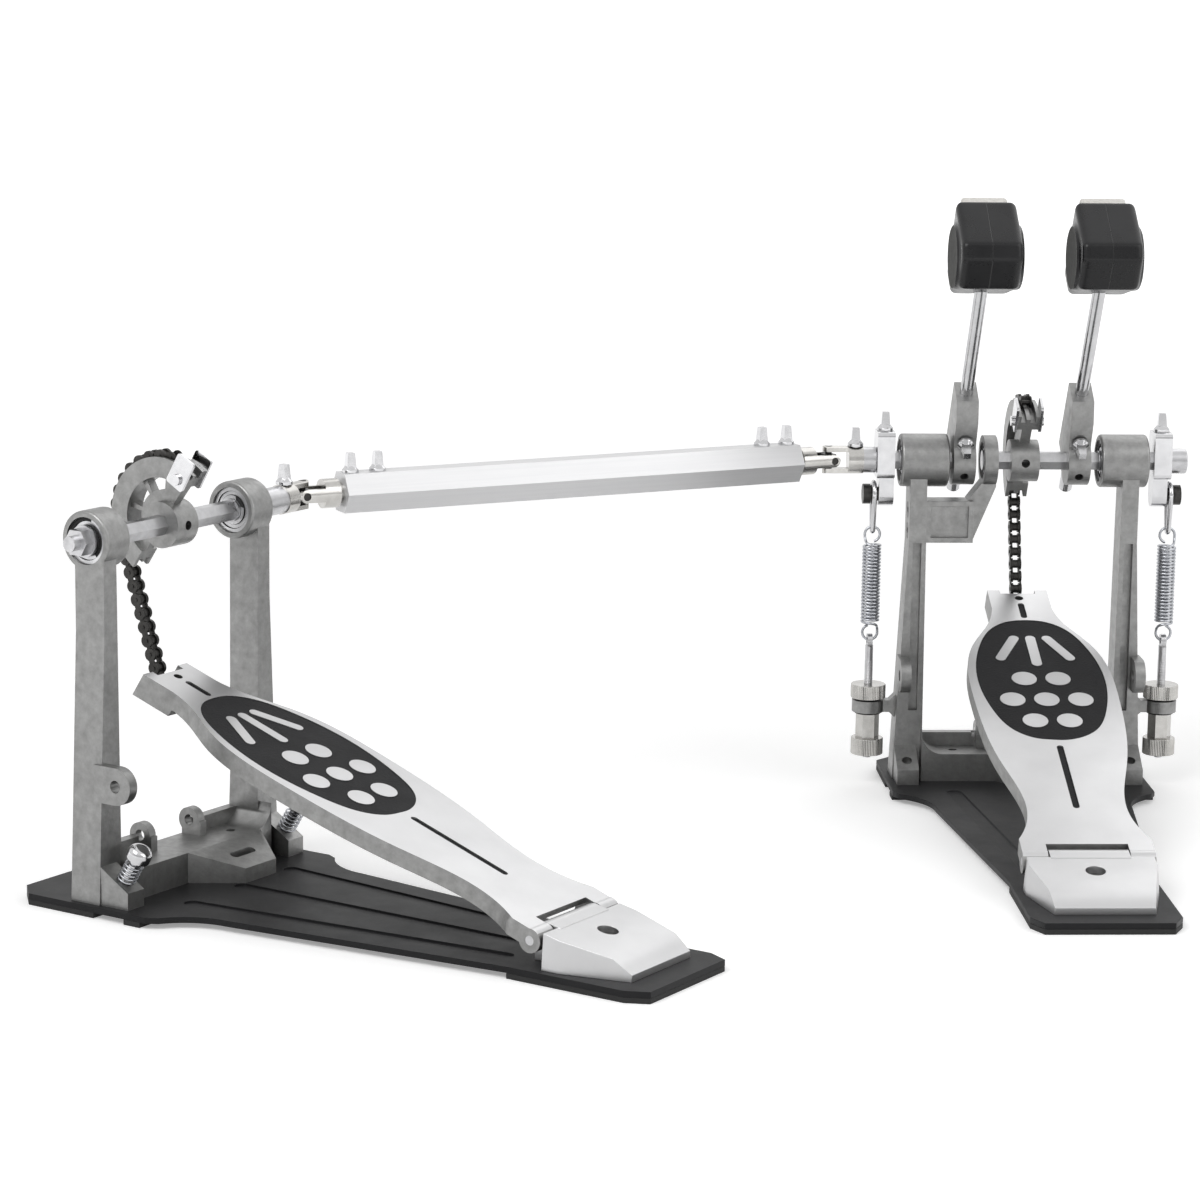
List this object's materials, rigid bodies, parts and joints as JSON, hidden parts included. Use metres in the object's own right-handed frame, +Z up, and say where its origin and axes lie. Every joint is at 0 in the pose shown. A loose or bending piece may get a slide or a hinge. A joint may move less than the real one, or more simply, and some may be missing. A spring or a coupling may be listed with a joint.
{
  "type": "double bass drum pedal",
  "caption": "Double bass drum pedal: main pedal with felt beaters, chain cams and return springs, linked by a universal-jointed drive shaft to a slave pedal.",
  "frame": {"origin": "on the floor under the middle of the main pedal's axle", "axes": "+X along the main axle towards the right beater's spring, +Y towards the drum, +Z up"},
  "size_m": [0.669, 0.4958, 0.3588],
  "materials": {
    "black_plate": "black powder coat",
    "rubber": "matte",
    "cast_metal": "raw tumbled casting",
    "bearing_steel": "ground",
    "black_screws": "black oxide",
    "zinc_spring": "zinc plated",
    "chrome": "polished",
    "nickel": "nickel plated",
    "black_chain": "black oxide",
    "silver_board": "satin cast",
    "tread": "matte grip",
    "black_plastic": "glossy",
    "felt": "pressed felt",
    "silver_tube": "satin anodised"
  },
  "bodies": {
    "base": {"main_base_plate": "black_plate", "slave_base_plate": "black_plate", "rubber_pads": "rubber", "main_frame": "cast_metal", "slave_frame": "cast_metal", "main_heel_plate": "cast_metal", "slave_heel_plate": "cast_metal", "axle_bearings": "bearing_steel", "bearing_bracket": "cast_metal", "frame_screws": "black_screws", "pivot_pins": "bearing_steel", "spring_eye_rods": "bearing_steel", "spur_springs": "zinc_spring"},
    "right_axle_set": {"right_axle": "bearing_steel", "main_cam": "cast_metal", "right_axle_fittings": "chrome", "main_chain_on_cam": "black_chain", "right_beater_hub": "cast_metal", "right_spring_rocker": "chrome"},
    "main_chain": {"main_chain_link_upper": "black_chain", "main_chain_link_lower": "black_chain", "main_chain_run": "black_chain"},
    "main_board": {"main_footboard": "silver_board", "main_tread": "tread"},
    "right_beater": {"right_beater_rod": "chrome", "right_beater_head": "black_plastic", "right_beater_felt": "felt"},
    "right_spring_body": {"right_spring": "zinc_spring"},
    "right_hook": {"right_spring_hook": "chrome"},
    "right_nuts": {"right_tension_nuts": "nickel"},
    "left_axle_set": {"left_axle": "bearing_steel", "left_axle_fittings": "chrome", "left_beater_hub": "cast_metal", "left_spring_rocker": "chrome", "main_side_yoke": "nickel"},
    "left_beater": {"left_beater_rod": "chrome", "left_beater_head": "black_plastic", "left_beater_felt": "felt"},
    "left_spring_body": {"left_spring": "zinc_spring"},
    "left_hook": {"left_spring_hook": "chrome"},
    "left_nuts": {"left_tension_nuts": "nickel"},
    "drive_shaft": {"drive_shaft_tube": "silver_tube", "drive_shaft_yokes": "nickel", "drive_shaft_screws": "chrome"},
    "main_cross": {"main_side_cross": "black_screws"},
    "slave_cross": {"slave_side_cross": "black_screws"},
    "slave_axle_set": {"slave_axle": "bearing_steel", "slave_side_yoke": "nickel", "slave_cam": "cast_metal", "slave_axle_fittings": "chrome", "slave_chain_on_cam": "black_chain"},
    "slave_chain": {"slave_chain_link_upper": "black_chain", "slave_chain_link_lower": "black_chain", "slave_chain_run": "black_chain"},
    "slave_board": {"slave_footboard": "silver_board", "slave_tread": "tread"},
    "left_spur_screw": {"left_spur": "chrome"},
    "right_spur_screw": {"right_spur": "chrome"},
    "clamp_jaw": {"hoop_clamp_jaw": "cast_metal"},
    "clamp_screw": {"hoop_clamp_screw": "chrome"}
  },
  "joints": [
    {"name": "main_axle_turn", "type": "hinge", "parent": "base", "child": "right_axle_set", "pos_m": [0, 0, 0.1982], "axis": [1, 0, 0], "range_deg": [-36, 0], "stiffness_Nm_per_rad": 1, "springref_deg": 34.38},
    {"name": "main_chain_turn", "type": "hinge", "parent": "right_axle_set", "child": "main_chain", "pos_m": [0, 0.0352, 0.20518], "axis": [1, 0, 0], "range_deg": [0, 41.64]},
    {"name": "main_board_turn", "type": "hinge", "parent": "base", "child": "main_board", "pos_m": [0, -0.259, 0.0205], "axis": [1, 0, 0], "range_deg": [-5.19, 0]},
    {"name": "right_beater_height", "type": "slide", "parent": "right_axle_set", "child": "right_beater", "axis": [0, -0.5592, 0.829], "range_m": [-0.006, 0.01]},
    {"name": "right_spring_swing", "type": "hinge", "parent": "base", "child": "right_spring_body", "pos_m": [0.089, 0, 0.0896], "axis": [1, 0, 0], "range_deg": [0, 7.68]},
    {"name": "right_spring_stretch", "type": "slide", "parent": "right_spring_body", "child": "right_hook", "axis": [0, 0, 1], "range_m": [0, 0.00393], "deforming": ["right_spring"]},
    {"name": "right_nuts_turn", "type": "hinge", "parent": "base", "child": "right_nuts", "pos_m": [0.089, 0, 0.05], "axis": [0, 0, 1], "continuous": true},
    {"name": "slave_axle_turn", "type": "hinge", "parent": "base", "child": "slave_axle_set", "pos_m": [-0.493, -0.2258, 0.1982], "axis": [0.5948, 0.8039, 0], "range_deg": [-36, 0], "stiffness_Nm_per_rad": 1, "springref_deg": 34.38},
    {"name": "slave_chain_turn", "type": "hinge", "parent": "slave_axle_set", "child": "slave_chain", "pos_m": [-0.52129, -0.20486, 0.20518], "axis": [0.5948, 0.8039, 0], "range_deg": [0, 41.64]},
    {"name": "slave_board_turn", "type": "hinge", "parent": "base", "child": "slave_board", "pos_m": [-0.2848, -0.37986, 0.0205], "axis": [0.5948, 0.8039, 0], "range_deg": [-5.19, 0]},
    {"name": "drive_shaft_turn", "type": "hinge", "parent": "base", "child": "drive_shaft", "pos_m": [-0.42549, -0.13456, 0.1982], "axis": [0.9168, 0.3993, 0], "range_deg": [-31.95, 0]},
    {"name": "slave_cross_rock", "type": "hinge", "parent": "drive_shaft", "child": "slave_cross", "pos_m": [-0.42549, -0.13456, 0.1982], "axis": [-0.3993, 0.9168, 0], "range_deg": [-17.61, 0]},
    {"name": "main_cross_rock", "type": "hinge", "parent": "drive_shaft", "child": "main_cross", "pos_m": [-0.1165, 0, 0.1982], "axis": [-0.3993, 0.9168, 0], "range_deg": [0, 13.5]},
    {"name": "left_axle_turn", "type": "hinge", "parent": "base", "child": "left_axle_set", "pos_m": [0, 0, 0.1982], "axis": [1, 0, 0], "range_deg": [-34.37, 0]},
    {"name": "left_beater_height", "type": "slide", "parent": "left_axle_set", "child": "left_beater", "axis": [0, -0.5592, 0.829], "range_m": [-0.006, 0.01]},
    {"name": "left_spring_swing", "type": "hinge", "parent": "base", "child": "left_spring_body", "pos_m": [-0.089, 0, 0.0896], "axis": [1, 0, 0], "range_deg": [0, 7.33]},
    {"name": "left_spring_stretch", "type": "slide", "parent": "left_spring_body", "child": "left_hook", "axis": [0, 0, 1], "range_m": [0, 0.00375], "deforming": ["left_spring"]},
    {"name": "left_nuts_turn", "type": "hinge", "parent": "base", "child": "left_nuts", "pos_m": [-0.089, 0, 0.05], "axis": [0, 0, 1], "continuous": true},
    {"name": "left_spur_height", "type": "slide", "parent": "base", "child": "left_spur_screw", "axis": [0.4244, -0.314, 0.8493], "range_m": [0, 0.008]},
    {"name": "right_spur_height", "type": "slide", "parent": "base", "child": "right_spur_screw", "axis": [0.4244, -0.314, 0.8493], "range_m": [0, 0.008]},
    {"name": "clamp_jaw_turn", "type": "hinge", "parent": "base", "child": "clamp_jaw", "pos_m": [0, 0.004, 0.031], "axis": [1, 0, 0], "range_deg": [0, 9]},
    {"name": "clamp_screw_travel", "type": "slide", "parent": "clamp_jaw", "child": "clamp_screw", "axis": [0, 0, 1], "range_m": [0, 0.00213]}
  ],
  "couplings": [
    {"joint": "main_chain_turn", "follows": "main_axle_turn", "ratio": -1.1454},
    {"joint": "main_board_turn", "follows": "main_axle_turn", "ratio": 0.14385},
    {"joint": "right_spring_swing", "follows": "main_axle_turn", "ratio": -0.21305},
    {"joint": "right_spring_stretch", "follows": "main_axle_turn", "m_per_rad": -0.006238},
    {"joint": "slave_chain_turn", "follows": "slave_axle_turn", "ratio": -1.1454},
    {"joint": "slave_board_turn", "follows": "slave_axle_turn", "ratio": 0.14385},
    {"joint": "drive_shaft_turn", "follows": "slave_axle_turn", "ratio": 0.88718},
    {"joint": "slave_cross_rock", "follows": "slave_axle_turn", "ratio": 0.48057},
    {"joint": "main_cross_rock", "follows": "slave_axle_turn", "ratio": -0.36647},
    {"joint": "left_axle_turn", "follows": "slave_axle_turn", "ratio": 0.95441},
    {"joint": "left_spring_swing", "follows": "slave_axle_turn", "ratio": -0.20334},
    {"joint": "left_spring_stretch", "follows": "slave_axle_turn", "m_per_rad": -0.005954},
    {"joint": "clamp_screw_travel", "follows": "clamp_jaw_turn", "m_per_rad": 0.0135}
  ]
}
